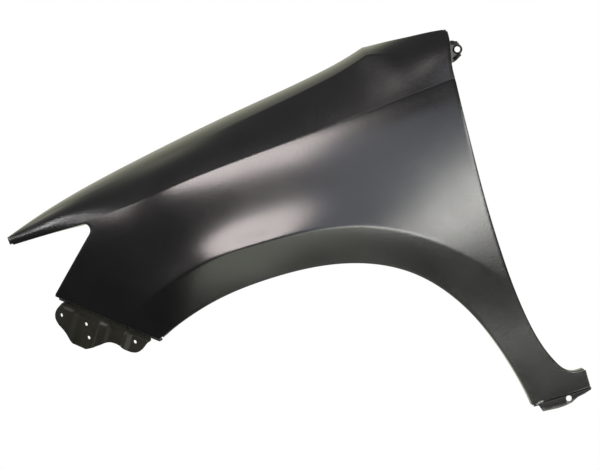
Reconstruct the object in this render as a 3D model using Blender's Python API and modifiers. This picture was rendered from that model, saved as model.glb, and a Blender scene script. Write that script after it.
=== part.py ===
"""Left front wing of a car: one pressed steel panel and the brackets welded to it.

The car's own directions are kept: X points rearward, Y inboard and Z up. The panel is
drawn from the wheel's axis, and the whole part is then moved so that the bolt face on
the hood ledge lies at the origin.
"""

import math

import bmesh
import bpy
import numpy as np
from mathutils import Matrix, Vector

MM = 0.001

# Driving sizes of the pressed panel
TIP_SETBACK = 428 * MM
ARCH_RADIUS = 335 * MM
POST_WIDTH = 105 * MM
PANEL_HEIGHT = 633 * MM
PANEL_DEPTH = 237 * MM
SHEET = 0.8 * MM
BEND_RADIUS = 2 * MM
WELD_GAP = 0.3 * MM
CUT_OVERRUN = 6 * MM
MERGE = 0.04 * MM

# Wheel arch and the ridge of its flare: shares of their radius, by angle in degrees
ARCH_SHARES = (
    (0, 1.021), (10, 1.0030), (21, 0.9995), (35, 1.0120), (52, 1.0255), (70, 1.002),
    (91, 0.977), (106, 0.992), (118, 1.016), (127, 1.041),
)
BAND_WIDTH = 60 * MM
RIDGE_SHARES = (
    (39, 1.033), (52, 1.020), (66, 1.0076), (79, 0.985), (91, 0.9754), (104, 0.994),
    (118, 1.0127),
)
RIDGE_START_SHARE = 0.330
FLARE = 22.6 * MM
FLARE_REACH = 24 * MM
FLARE_SHARES = (
    (8, 0.00), (20, 0.00), (30, 0.12), (42, 0.36), (58, 0.65), (76, 0.87), (94, 1.00),
    (112, 0.64), (127, 0.27),
)
FLARE_REACH_SHARES = ((35, 3.33), (80, 1.00), (122, 1.06))
FLARE_SWELL_SHARES = ((35, 0.00), (80, 0.71), (122, 0.48))
BAND_TUCK_SHARE = 0.30
BAND_BOW = 6.1 * MM

# Curves of the panel: how far back, how far inboard and how high, as shares of its size
HOOD_SHARES = (
    (0.0000, 1.000, 0.7993), (0.0565, 0.920, 0.8240), (0.1745, 0.758, 0.8655),
    (0.3080, 0.633, 0.9003), (0.5000, 0.536, 0.9420), (0.6884, 0.496, 0.9782),
    (0.7327, 0.494, 0.9902), (0.7792, 0.490, 1.0074),
)
PILLAR_SHARES = (
    (0.7792, 0.490, 1.0071), (0.8329, 0.436, 1.0024), (0.8698, 0.392, 0.9976),
    (0.9078, 0.351, 0.9929), (0.9366, 0.329, 0.9874),
)
CREASE_SHARES = (
    (0.1671, 0.7828), (0.2707, 0.7914), (0.3779, 0.8088), (0.4931, 0.8215),
    (0.6659, 0.8365), (0.9194, 0.8618),
)
PLAN_SHARES = (
    (0.0092, 0.938), (0.0933, 0.693), (0.1889, 0.444), (0.2846, 0.248), (0.3929, 0.126),
    (0.4885, 0.0945), (0.6682, 0.088), (0.9067, 0.158),
)
DOOR_SHARES = (
    (0.9366, 0.9874), (0.9209, 0.8618), (0.9115, 0.7109), (0.9062, 0.5371),
    (0.9073, 0.4044), (0.9104, 0.3223), (0.9176, 0.2338), (0.9313, 0.1453),
    (0.9477, 0.0895), (0.9605, 0.0632), (0.9747, 0.0496), (1.0000, 0.0464),
)
DOOR_CREASE_ROWS = 1
DOOR_RIDGE_ROWS = 5
DOOR_FILLET_ROWS = 8
NOSE_CORNER_SHARES = (0.0688, 0.6153)
TIP_FOOT_SHARES = (0.0020, 0.7790)
LAMP_FILLET = 12.5 * MM

# Tilt of the surface from upright, in degrees, along the panel
SHOULDER_TILT_SHARES = (
    (0.00, 6), (0.09, 4), (0.167, 22), (0.26, 33), (0.50, 34), (0.75, 28), (0.919, 15),
)
TOP_TILT_SHARES = (
    (0.00, 62), (0.168, 76), (0.50, 80), (0.779, 78), (0.855, 60), (0.937, 44),
)
ROLL_HANDLE_SHARE = 0.38

# Soft line below the hood's edge, with a flatter strip above it
LINE_ROW_SHARE = 0.6
LINE_ACROSS_SHARE = 0.45
LINE_BACK_SHARE = 0.4
STRIP_LOW_TILT = math.radians(62)
STRIP_HIGH_TILT = math.radians(76)
LINE_FADE = 60 * MM

# Lean and belly of the side
SIDE_LEAN = -0.050
BELLY_SLOPE = 0.304
BELLY_REACH = 94 * MM
SHELF_SLOPE_SHARES = ((0.17, 0.078), (0.50, 0.172), (0.90, 0.314))
SHELF_REACH = 48 * MM

# How finely the panel is divided
FINGER_COLUMNS = 8
HOOD_COLUMNS = 32
PILLAR_COLUMNS = 8
NOSE_COLUMNS = 7
DOOR_COLUMNS = 7
FOOT_COLUMNS = 8
ROOF_ROWS = 10
LAMP_ROWS = 8
FILLET_ROWS = 5
LAMP_ROWS_SHARE = 0.81
BAND_ROWS = 5
BEND_STEPS = 2

# Turned edges
DOOR_FLANGE = 14 * MM
PILLAR_FLANGE = 13 * MM
ARCH_FLANGE = 17 * MM
LAMP_FLANGE = 11 * MM
LAMP_TOP_FLANGE = 8 * MM
TIP_HEM = 6 * MM
NOSE_STEP = 10 * MM
NOSE_LIP = 6 * MM
TAB_STEP = 8 * MM
TAB_DROP = 14.5 * MM
TAB_SHARES = (0.06, 0.85, 0.93, 1.0, 0.98, 0.85, 0.45, 0.30, 0.06)
TAB_HOLE_RADIUS = 4.6 * MM
TAB_HOLE_SHARE = 0.6
TAB_HOLE_DROP = 8 * MM

# Gutter wall and bolting ledge under the hood
LEDGE_DROP = 30 * MM
LEDGE_DRAFT = 3 * MM
LEDGE_WIDTH = 17 * MM
EAR_WIDTH = 9 * MM
EAR_REACH = 30 * MM
EAR_SHARES = (0.16, 0.52, 0.90)
LEDGE_START_SHARE = 0.20
LEDGE_HOLE_RADIUS = 4.5 * MM
DATUM_OFFSET = 13 * MM

# Holes for the arch liner's clips
CLIP_RADIUS = 3.5 * MM
CLIP_ANGLES = tuple(math.radians(angle) for angle in (118, 97, 76, 55, 36))

# Front bracket, which carries the bumper's corner
FRONT_SHEET = 1.2 * MM
FRONT_LENGTH = 186 * MM
FRONT_DROP = 72 * MM
FRONT_START = 5 * MM
FRONT_PAD = 4 * MM
PUNCH_LENGTH = 20 * MM
FRONT_LEVEL_SHARES = (
    (0.00, 0.0), (0.12, 0.4), (0.16, 0.4), (0.25, -1.0), (0.42, -1.0), (0.455, 0.6),
    (0.51, 0.6), (0.57, -0.4), (0.68, -0.4), (0.70, 0.5), (0.72, 0.5), (0.77, -0.8),
    (0.94, -0.8), (1.00, 0.0),
)
FRONT_PAD_SHARES = (0.32, 0.60)
FRONT_ROWS = 7
FRONT_OUTLINE_SHARES = (
    (0.095, 0.02), (0.056, 0.17), (0.038, 0.32), (0.043, 0.44), (0.068, 0.54),
    (0.183, 0.72), (0.282, 0.93), (0.350, 0.96), (0.420, 0.91), (0.520, 0.69),
    (0.602, 0.52), (0.656, 0.485), (0.715, 0.495), (0.780, 0.535), (0.857, 0.51),
    (0.891, 0.45), (0.917, 0.35), (0.940, 0.19), (0.962, 0.02),
)
FRONT_HOLES_SHARES = ((0.074, 0.40), (0.31, 0.40), (0.37, 0.69), (0.80, 0.33))
FRONT_HOLE_RADIUS = 3.1 * MM

# Rear upper bracket, which bolts to the windscreen pillar
PILLAR_SHEET = 1.5 * MM
PILLAR_HOLE_RADIUS = 4.8 * MM
PILLAR_EAR_SIZE = 32 * MM
PILLAR_HOLE_BACK = 14.5 * MM
PILLAR_HOLE_SHARE = 0.93
PILLAR_EAR_INBOARD = 30 * MM
PILLAR_LEG_LAP = 5 * MM
PILLAR_LEG_GAP = 0.7 * MM
PILLAR_EAR_SHARES = (
    (0.11, 0.36), (0.18, 0.23), (0.23, 0.02), (0.20, -0.15), (0.10, -0.28),
    (0.01, -0.41),
)
OUTLINE_STEPS = 3
ROUND_SIDES = 24


panel_length = TIP_SETBACK + ARCH_RADIUS + POST_WIDTH


def along(share):
    return share * panel_length - TIP_SETBACK


def high(share):
    return share * PANEL_HEIGHT


def inboard(share):
    return share * PANEL_DEPTH


def smooth(knots, values):
    """A natural cubic curve through the values, read at any place along the knots."""
    knots = np.array(knots, float)
    values = np.array(values, float)
    spans = np.diff(knots)
    system = np.eye(len(knots))
    pull = np.zeros_like(values)
    for i in range(1, len(knots) - 1):
        system[i, i - 1] = spans[i - 1]
        system[i, i] = 2 * (spans[i - 1] + spans[i])
        system[i, i + 1] = spans[i]
        rise = (values[i + 1] - values[i]) / spans[i]
        pull[i] = 6 * (rise - (values[i] - values[i - 1]) / spans[i - 1])
    bend = np.linalg.solve(system, pull)

    def read(place):
        i = int(np.clip(np.searchsorted(knots, place) - 1, 0, len(spans) - 1))
        before = place - knots[i]
        after = knots[i + 1] - place
        curved = (bend[i] * after ** 3 + bend[i + 1] * before ** 3) / (6 * spans[i])
        left = (values[i] / spans[i] - bend[i] * spans[i] / 6) * after
        right = (values[i + 1] / spans[i] - bend[i + 1] * spans[i] / 6) * before
        return curved + left + right

    return read


def between(start, end, count):
    """Evenly spaced places from start to end, both included."""
    return [start + (end - start) * i / count for i in range(count + 1)]


hood = smooth([along(s[0]) for s in HOOD_SHARES],
              [(inboard(s[1]), high(s[2])) for s in HOOD_SHARES])
pillar = smooth([along(s[0]) for s in PILLAR_SHARES],
                [(inboard(s[1]), high(s[2])) for s in PILLAR_SHARES])
crease_height = smooth([along(s[0]) for s in CREASE_SHARES],
                       [high(s[1]) for s in CREASE_SHARES])
plan = smooth([along(s[0]) for s in PLAN_SHARES], [inboard(s[1]) for s in PLAN_SHARES])
shelf_slope = smooth([along(s[0]) for s in SHELF_SLOPE_SHARES],
                     [s[1] for s in SHELF_SLOPE_SHARES])
shoulder_tilt = smooth([along(s[0]) for s in SHOULDER_TILT_SHARES],
                       [math.radians(s[1]) for s in SHOULDER_TILT_SHARES])
top_tilt = smooth([along(s[0]) for s in TOP_TILT_SHARES],
                  [math.radians(s[1]) for s in TOP_TILT_SHARES])

door_points = np.array([(along(s[0]), high(s[1])) for s in DOOR_SHARES])
door_run = np.concatenate([[0], np.cumsum(np.linalg.norm(np.diff(door_points, axis=0), axis=1))])
door = smooth(door_run, door_points)


arch_radius = smooth([math.radians(row[0]) for row in ARCH_SHARES],
                     [row[1] * ARCH_RADIUS for row in ARCH_SHARES])
flare_at = smooth([math.radians(row[0]) for row in FLARE_SHARES],
                  [row[1] * FLARE for row in FLARE_SHARES])
flare_reach = smooth([math.radians(row[0]) for row in FLARE_REACH_SHARES],
                     [row[1] * FLARE_REACH for row in FLARE_REACH_SHARES])
flare_swell = smooth([math.radians(row[0]) for row in FLARE_SWELL_SHARES],
                     [row[1] for row in FLARE_SWELL_SHARES])


def polar(radius, angle):
    return np.array([radius * math.cos(angle), radius * math.sin(angle)])


arch_front = math.radians(ARCH_SHARES[-1][0])
arch_corner = polar(arch_radius(arch_front), arch_front)
toe = polar(arch_radius(0), 0)
heel = np.array([along(1), high(0)])
nose_corner = np.array([along(NOSE_CORNER_SHARES[0]), high(NOSE_CORNER_SHARES[1])])
tip_foot = np.array([along(TIP_FOOT_SHARES[0]), high(TIP_FOOT_SHARES[1])])
ridge_start = arch_corner + (nose_corner - arch_corner) * RIDGE_START_SHARE
ridge_end = door_points[DOOR_RIDGE_ROWS]
ridge_ends = tuple(math.atan2(end[1], end[0]) for end in (ridge_end, ridge_start))
ridge_size = ARCH_RADIUS + BAND_WIDTH
ridge_radius = smooth(
    [ridge_ends[0], *(math.radians(row[0]) for row in RIDGE_SHARES), ridge_ends[1]],
    [np.linalg.norm(ridge_end), *(row[1] * ridge_size for row in RIDGE_SHARES),
     np.linalg.norm(ridge_start)])


def ease(share):
    share = min(max(share, 0), 1)
    return share * share * (3 - 2 * share)


def flare(x, z):
    """How far the arch pushes the side outboard at a point."""
    angle = math.atan2(z, x)
    beyond = math.hypot(x, z) - float(ridge_radius(angle))
    push = max(float(flare_at(angle)), 0)
    if beyond > 0:
        fall = beyond / float(flare_reach(angle))
        return push * (1 + max(float(flare_swell(angle)), 0) * fall) * math.exp(-fall)
    inner = beyond / BAND_WIDTH
    return push * (1 + BAND_TUCK_SHARE * inner) - BAND_BOW * inner * inner * push / FLARE


def side(x, z):
    """Depth of the panel's side, below its shoulder crease."""
    below = float(crease_height(x)) - z
    belly = BELLY_SLOPE * BELLY_REACH * (1 - math.exp(-below / BELLY_REACH))
    shelf = float(shelf_slope(x)) * SHELF_REACH * (1 - math.exp(-below / SHELF_REACH))
    return float(plan(x)) - SIDE_LEAN * below - belly - shelf - flare(x, z)


def side_point(x, z):
    return Vector((x, side(x, z), z))


def side_inward(x, z):
    """The side's normal at a point, on its inboard face."""
    step = SHEET
    slope_x = (side(x + step, z) - side(x - step, z)) / (2 * step)
    slope_z = (side(x, z + step) - side(x, z - step)) / (2 * step)
    return Vector((-slope_x, 1, -slope_z)).normalized()


def under_side(x, z, depth):
    """A point at a depth behind the side's outer face."""
    return side_point(x, z) + side_inward(x, z) * depth


def lamp_fillet():
    """Centre of the lamp opening's fillet, and the angle where its straight edge meets it."""
    centre = np.array([along(CREASE_SHARES[0][0]), high(CREASE_SHARES[0][1]) - LAMP_FILLET])
    reach = centre - nose_corner
    heading = math.atan2(reach[1], reach[0]) - math.asin(LAMP_FILLET / np.linalg.norm(reach))
    return centre, heading - math.pi / 2


def coons(bottom, top, left, right, across, upward):
    """A flat patch filled from four edge lists that share their corners."""
    patch = {}
    for i, s in enumerate(across):
        for j, t in enumerate(upward):
            ruled = (1 - t) * bottom[i] + t * top[i] + (1 - s) * left[j] + s * right[j]
            lower = (1 - s) * bottom[0] + s * bottom[-1]
            upper = (1 - s) * top[0] + s * top[-1]
            patch[i, j] = ruled - (1 - t) * lower - t * upper
    return patch


def add_patch(bm, columns, rows, place):
    """A grid whose points are moved onto the panel by their column and row."""
    made = bmesh.ops.create_grid(bm, x_segments=columns, y_segments=rows, size=0.5)
    for vert in made["verts"]:
        column = round((vert.co.x + 0.5) * columns)
        row = round((vert.co.y + 0.5) * rows)
        vert.co = place(column, row)


def arc(start, end, rising, falling, t):
    """A smooth section between two points, with a tilt from upright at each."""
    reach = (end - start).length * ROLL_HANDLE_SHARE
    first = start + Vector((0, math.sin(rising), math.cos(rising))) * reach
    second = end - Vector((0, math.sin(falling), math.cos(falling))) * reach
    return ((1 - t) ** 3 * start + 3 * t * (1 - t) ** 2 * first
            + 3 * t * t * (1 - t) * second + t ** 3 * end)


def lined_arc(start, end, rising, t):
    """The same section, with a flatter strip beside the hood and a soft line below it."""
    across = (end.y - start.y) * LINE_ACROSS_SHARE
    drop = across / math.tan((STRIP_LOW_TILT + STRIP_HIGH_TILT) / 2)
    line = end + Vector(((start.x - end.x) * LINE_BACK_SHARE, -across, -drop))
    if t > LINE_ROW_SHARE:
        above = (t - LINE_ROW_SHARE) / (1 - LINE_ROW_SHARE)
        return arc(line, end, STRIP_LOW_TILT, STRIP_HIGH_TILT, above)
    average = math.atan2(line.y - start.y, line.z - start.z)
    return arc(start, line, rising, 2 * average - rising, t / LINE_ROW_SHARE)


def roof_patch(bm, crease):
    """The roll from the shoulder crease, or the lamp's upper edge, to the hood."""
    corner = along(HOOD_SHARES[-1][0])
    notch = crease[0][0]
    door_top = door_points[0][0]
    lower = between(tip_foot, crease[0], FINGER_COLUMNS) + crease[1:]
    upper = between(along(0), notch, FINGER_COLUMNS)
    upper += between(notch, corner, HOOD_COLUMNS)[1:]
    upper += between(corner, door_top, PILLAR_COLUMNS)[1:]

    def place(column, row):
        x, z = lower[column]
        start = side_point(x, z)
        over = upper[column]
        edge = hood(over) if over <= corner else pillar(over)
        end = Vector((over, *edge))
        t = row / ROOF_ROWS
        lined = 1 - ease((over - corner) / LINE_FADE)
        plain = arc(start, end, shoulder_tilt(x), top_tilt(over), t)
        return plain.lerp(lined_arc(start, end, shoulder_tilt(x), t), lined)

    add_patch(bm, len(lower) - 1, ROOF_ROWS, place)


def side_patch(bm, crease, ridge):
    """The side between the shoulder crease and the arch's ridge or the nose edge."""
    centre, start_angle = lamp_fillet()
    tangent = centre + polar(LAMP_FILLET, start_angle)
    left = between(nose_corner, tangent, LAMP_ROWS)
    left += [centre + polar(LAMP_FILLET, angle)
             for angle in between(start_angle, math.pi / 2, FILLET_ROWS)][1:]
    upward = between(0, LAMP_ROWS_SHARE, LAMP_ROWS)
    upward += between(LAMP_ROWS_SHARE, 1, FILLET_ROWS)[1:]
    low, top = door_run[DOOR_RIDGE_ROWS], door_run[DOOR_CREASE_ROWS]
    right = [door(low + (top - low) * share) for share in upward]
    bottom = between(nose_corner, ridge_start, NOSE_COLUMNS) + ridge[1:]
    columns = len(crease) - 1
    patch = coons(bottom, crease, left, right, between(0, 1, columns), upward)
    add_patch(bm, columns, len(upward) - 1, lambda i, j: side_point(*patch[i, j]))


def band_patch(bm, ridge):
    """The flared band around the wheel, and the foot behind it."""
    count = len(ridge) - 1
    angles = between(arch_front, ridge_ends[0], count)
    angles += between(ridge_ends[0], 0, DOOR_COLUMNS)[1:]
    inner = [polar(arch_radius(angle), angle) for angle in angles]
    inner += between(toe, heel, FOOT_COLUMNS)[1:]
    low, turn = door_run[DOOR_RIDGE_ROWS], door_run[DOOR_FILLET_ROWS]
    outer = list(ridge)
    outer += [door(run) for run in between(low, turn, DOOR_COLUMNS)][1:]
    outer += [door(run) for run in between(turn, door_run[-1], FOOT_COLUMNS)][1:]
    left = between(arch_corner, ridge_start, BAND_ROWS)
    right = between(heel, door_points[-1], BAND_ROWS)
    columns = len(inner) - 1
    rows = between(0, 1, BAND_ROWS)
    patch = coons(inner, outer, left, right, between(0, 1, columns), rows)
    add_patch(bm, columns, BAND_ROWS, lambda i, j: side_point(*patch[i, j]))


def skin_mesh():
    """The outer face of the panel, without its turned edges."""
    bm = bmesh.new()
    columns = HOOD_COLUMNS + PILLAR_COLUMNS
    corner = along(HOOD_SHARES[-1][0])
    stations = between(along(CREASE_SHARES[0][0]), corner, HOOD_COLUMNS)
    stations += between(corner, door_points[DOOR_CREASE_ROWS][0], PILLAR_COLUMNS)[1:]
    crease = [np.array([x, float(crease_height(x))]) for x in stations]
    angles = between(ridge_ends[1], ridge_ends[0], columns - NOSE_COLUMNS)
    ridge = [polar(ridge_radius(angle), angle) for angle in angles]
    roof_patch(bm, crease)
    side_patch(bm, crease, ridge)
    band_patch(bm, ridge)
    bmesh.ops.remove_doubles(bm, verts=bm.verts, dist=MERGE)
    bm.normal_update()
    return bm


def rim_of(bm):
    """The panel's edge points in order round its outline."""
    start = next(edge for edge in bm.edges if edge.is_boundary)
    rim = [start.verts[0], start.verts[1]]
    while rim[-1] is not rim[0]:
        here = rim[-1]
        step = next(edge for edge in here.link_edges
                    if edge.is_boundary and edge.other_vert(here) is not rim[-2])
        rim.append(step.other_vert(here))
    return rim[:-1]


def stretch(rim, start, end, through):
    """The part of the rim between two corners that passes nearest a third point."""
    def nearest(target):
        return min(range(len(rim)), key=lambda i: (rim[i].co - target).length)

    first, last = nearest(start), nearest(end)
    count = len(rim)
    forward = [rim[(first + i) % count] for i in range((last - first) % count + 1)]
    backward = [rim[(first - i) % count] for i in range((first - last) % count + 1)]
    return min(forward, backward, key=lambda run: min((v.co - through).length for v in run))


def outward_of(chain, normals):
    """For each point of a chain, the direction away from the panel in its own plane."""
    found = []
    for i, vert in enumerate(chain):
        before = chain[max(i - 1, 0)]
        after = chain[min(i + 1, len(chain) - 1)]
        tangent = (after.co - before.co).normalized()
        away = tangent.cross(normals[vert]).normalized()
        face = next(face for edge in vert.link_edges if edge.is_boundary
                    for face in edge.link_faces)
        if away.dot(face.calc_center_median() - vert.co) > 0:
            away.negate()
        found.append(away)
    return found


def pull_rows(bm, chain, rows):
    """Extrudes a chain of edge points row by row, each row given as a list of places."""
    for places in rows:
        edges = [bm.edges.get(pair) for pair in zip(chain, chain[1:])]
        made = bmesh.ops.extrude_edge_only(bm, edges=edges)["geom"]
        fresh = {item for item in made if isinstance(item, bmesh.types.BMVert)}
        chain = [next(edge.other_vert(vert) for edge in vert.link_edges
                      if edge.other_vert(vert) in fresh) for vert in chain]
        for vert, place in zip(chain, places):
            vert.co = place


def turned_edge(bm, chain, normals, depths):
    """A flange bent square to the panel, with a depth for each point.

    Gives the places where the flange leaves its bend and where it ends.
    """
    outward = outward_of(chain, normals)
    rows = []
    for step in range(1, BEND_STEPS + 1):
        angle = math.pi / 2 * step / BEND_STEPS
        out = BEND_RADIUS * math.sin(angle)
        down = BEND_RADIUS * (1 - math.cos(angle))
        rows.append([v.co + o * out - normals[v] * down for v, o in zip(chain, outward)])
    rows.append([v.co + o * BEND_RADIUS - normals[v] * depth
                 for v, o, depth in zip(chain, outward, depths)])
    pull_rows(bm, chain, rows)
    return rows[-2:]


def stepped_edge(bm, chain, normals, step_depth, lips, place):
    """A flange that steps inboard and then runs on beside the panel."""
    outward = outward_of(chain, normals)
    rows = []
    for out, depth in ((BEND_RADIUS, BEND_RADIUS), (BEND_RADIUS, step_depth - BEND_RADIUS),
                       (2 * BEND_RADIUS, step_depth)):
        rows.append([place(v.co + o * out, depth) for v, o in zip(chain, outward)])
    rows.append([place(v.co + o * (2 * BEND_RADIUS + lip), step_depth)
                 for v, o, lip in zip(chain, outward, lips)])
    pull_rows(bm, chain, rows)


ledge_ends = (along(LEDGE_START_SHARE), along(HOOD_SHARES[-1][0]))
ledge_heights = tuple(float(hood(x)[1]) - LEDGE_DROP for x in ledge_ends)


def ledge_height(x):
    """The ledge is one flat plane along the car, so its height follows a straight line."""
    share = (x - ledge_ends[0]) / (ledge_ends[1] - ledge_ends[0])
    return ledge_heights[0] + (ledge_heights[1] - ledge_heights[0]) * share


def ear_places():
    return [ledge_ends[0] + (ledge_ends[1] - ledge_ends[0]) * share for share in EAR_SHARES]


def ledge_reach(x):
    """The ledge's width, wider at each bolting ear."""
    nearest = min(abs(x - place) for place in ear_places())
    return LEDGE_WIDTH + EAR_WIDTH * ease(2 - 2 * nearest / EAR_REACH)


def hood_gutter(bm, chain):
    """The wall that drops beside the hood and the flat ledge at its foot."""
    rows = []
    wall = BEND_RADIUS + LEDGE_DRAFT
    for inward, rise in ((BEND_RADIUS / 2, 0), (BEND_RADIUS, -BEND_RADIUS / 2)):
        rows.append([v.co + Vector((0, inward, rise)) for v in chain])
    rows.append([Vector((v.co.x, v.co.y + wall, ledge_height(v.co.x) + BEND_RADIUS))
                 for v in chain])
    for reach in (BEND_RADIUS, LEDGE_WIDTH / 2):
        rows.append([Vector((v.co.x, v.co.y + wall + reach, ledge_height(v.co.x)))
                     for v in chain])
    rows.append([Vector((v.co.x, v.co.y + wall + ledge_reach(v.co.x), ledge_height(v.co.x)))
                 for v in chain])
    pull_rows(bm, chain, rows)


def ledge_place(x, reach):
    """A point on the ledge's upper face, at a reach inboard of the gutter wall."""
    across = float(hood(x)[0]) + BEND_RADIUS + LEDGE_DRAFT + reach
    return Vector((x, across, ledge_height(x)))


datum = ledge_place(ear_places()[1] + LEDGE_WIDTH, DATUM_OFFSET)


def new_object(name, mesh, collection, material=None):
    thing = bpy.data.objects.new(name, mesh)
    collection.objects.link(thing)
    if material:
        thing.data.materials.append(material)
    return thing


def mesh_of(bm, name):
    mesh = bpy.data.meshes.new(name)
    bm.to_mesh(mesh)
    bm.free()
    return mesh


def steel_finish(name, colour, roughness):
    material = bpy.data.materials.new(name)
    material.use_nodes = True
    shader = material.node_tree.nodes["Principled BSDF"]
    shader.inputs["Base Color"].default_value = (*colour, 1)
    shader.inputs["Roughness"].default_value = roughness
    shader.inputs["Metallic"].default_value = 0
    return material


def as_cutter(thing):
    thing.hide_render = True
    thing.display_type = "WIRE"


def add_punch(name, places, radius, length, collection):
    """Round punches, one for each centre and axis, as one cutter."""
    bm = bmesh.new()
    for centre, axis in places:
        turn = Vector((0, 0, 1)).rotation_difference(axis).to_matrix().to_4x4()
        bmesh.ops.create_cone(bm, cap_ends=True, segments=ROUND_SIDES, radius1=radius,
                              radius2=radius, depth=length,
                              matrix=Matrix.Translation(centre) @ turn)
    punch = new_object(name, mesh_of(bm, name), collection)
    as_cutter(punch)
    return punch


def cut(thing, cutter, operation="DIFFERENCE"):
    modifier = thing.modifiers.new(cutter.name, "BOOLEAN")
    modifier.operation = operation
    modifier.solver = "EXACT"
    modifier.object = cutter


def thicken(thing, thickness):
    modifier = thing.modifiers.new("sheet", "SOLIDIFY")
    modifier.thickness = thickness
    modifier.offset = -1
    modifier.use_even_offset = True
    modifier.use_quality_normals = True


def face_outward(bm):
    """Makes the sheet's faces agree, with the panel's outside facing away from the car."""
    bmesh.ops.recalc_face_normals(bm, faces=bm.faces)
    leaning = sum(face.normal.y * face.calc_area() for face in bm.faces)
    if leaning > 0:
        bmesh.ops.reverse_faces(bm, faces=bm.faces)


def fender_panel(parts, cutters, finish):
    bm = skin_mesh()
    rim = rim_of(bm)
    normals = {vert: vert.normal.copy() for vert in rim}
    tip = Vector((along(0), *hood(along(0))))
    tip_end = side_point(*tip_foot)
    notch = side_point(along(CREASE_SHARES[0][0]), high(CREASE_SHARES[0][1]))
    hood_corner = Vector((along(HOOD_SHARES[-1][0]), *hood(along(HOOD_SHARES[-1][0]))))
    door_top = Vector((door_points[0][0], *pillar(door_points[0][0])))
    foot_top = side_point(*door_points[-1])
    heel_end = side_point(*heel)
    toe_end = side_point(*toe)
    arch_end = side_point(*arch_corner)
    nose_end = side_point(*nose_corner)

    middle = (hood_corner + tip) / 2
    hood_run = stretch(rim, tip, hood_corner, middle)
    hem = [v for v in hood_run if v.co.x <= ledge_ends[0]][2:]
    gutter = [v for v in hood_run if v.co.x >= ledge_ends[0]][:-1]
    turned_edge(bm, hem, normals, between(TIP_HEM, LEDGE_DROP, len(hem) - 1))
    hood_gutter(bm, gutter)

    pillar_run = stretch(rim, hood_corner, door_top, (hood_corner + door_top) / 2)[1:-1]
    turned_edge(bm, pillar_run, normals, [PILLAR_FLANGE] * len(pillar_run))
    rear_run = stretch(rim, door_top, foot_top, side_point(*ridge_end))[1:-1]
    door_flange = turned_edge(bm, rear_run, normals, [DOOR_FLANGE] * len(rear_run))
    arch_top = side_point(0, arch_radius(math.pi / 2))
    arch_run = stretch(rim, arch_end, toe_end, arch_top)[1:-1]
    turned_edge(bm, arch_run, normals, [ARCH_FLANGE] * len(arch_run))
    lamp_run = stretch(rim, nose_end, tip_end, notch)[1:-1]
    turned_edge(bm, lamp_run, normals,
                between(LAMP_FLANGE, LAMP_TOP_FLANGE, len(lamp_run) - 1))

    nose_run = stretch(rim, arch_end, nose_end, side_point(*ridge_start))
    nose_lips = [BEND_RADIUS] + [NOSE_LIP] * (len(nose_run) - 1)
    stepped_edge(bm, nose_run, normals, NOSE_STEP, nose_lips,
                 lambda spot, depth: under_side(spot.x, spot.z, depth))
    foot_run = stretch(rim, toe_end, heel_end, (toe_end + heel_end) / 2)
    stepped_edge(bm, foot_run, normals, TAB_STEP, [TAB_DROP * s for s in TAB_SHARES],
                 lambda spot, depth: Vector((spot.x, toe_end.y + depth, spot.z)))
    face_outward(bm)

    panel = new_object("fender_panel", mesh_of(bm, "fender_panel"), parts, finish)
    thicken(panel, SHEET)
    bolts = [(ledge_place(x, LEDGE_WIDTH), Vector((0, 0, 1))) for x in ear_places()]
    cut(panel, add_punch("ledge_punch", bolts, LEDGE_HOLE_RADIUS, CUT_OVERRUN, cutters))
    clips = []
    for angle in CLIP_ANGLES:
        edge = polar(arch_radius(angle) - BEND_RADIUS, angle)
        depth = side(*edge) + (ARCH_FLANGE + BEND_RADIUS) / 2
        clips.append((Vector((edge[0], depth, edge[1])),
                      Vector((math.cos(angle), 0, math.sin(angle)))))
    cut(panel, add_punch("clip_punch", clips, CLIP_RADIUS, CUT_OVERRUN, cutters))
    tab_x = toe[0] + (heel[0] - toe[0]) * TAB_HOLE_SHARE
    tab_hole = [(Vector((tab_x, toe_end.y + TAB_STEP, toe[1] - TAB_HOLE_DROP)),
                 Vector((0, 1, 0)))]
    cut(panel, add_punch("tab_punch", tab_hole, TAB_HOLE_RADIUS, CUT_OVERRUN, cutters))
    return door_flange


nose_line = (arch_corner - nose_corner) / np.linalg.norm(arch_corner - nose_corner)
nose_away = np.array([-abs(nose_line[1]), -abs(nose_line[0])])


def front_spot(run_share, drop_share):
    """A point of the front bracket's sheet, back along the nose edge and away from it."""
    run = run_share * FRONT_LENGTH
    drop = FRONT_START + drop_share * FRONT_DROP
    return nose_corner + nose_line * run + nose_away * drop


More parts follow.
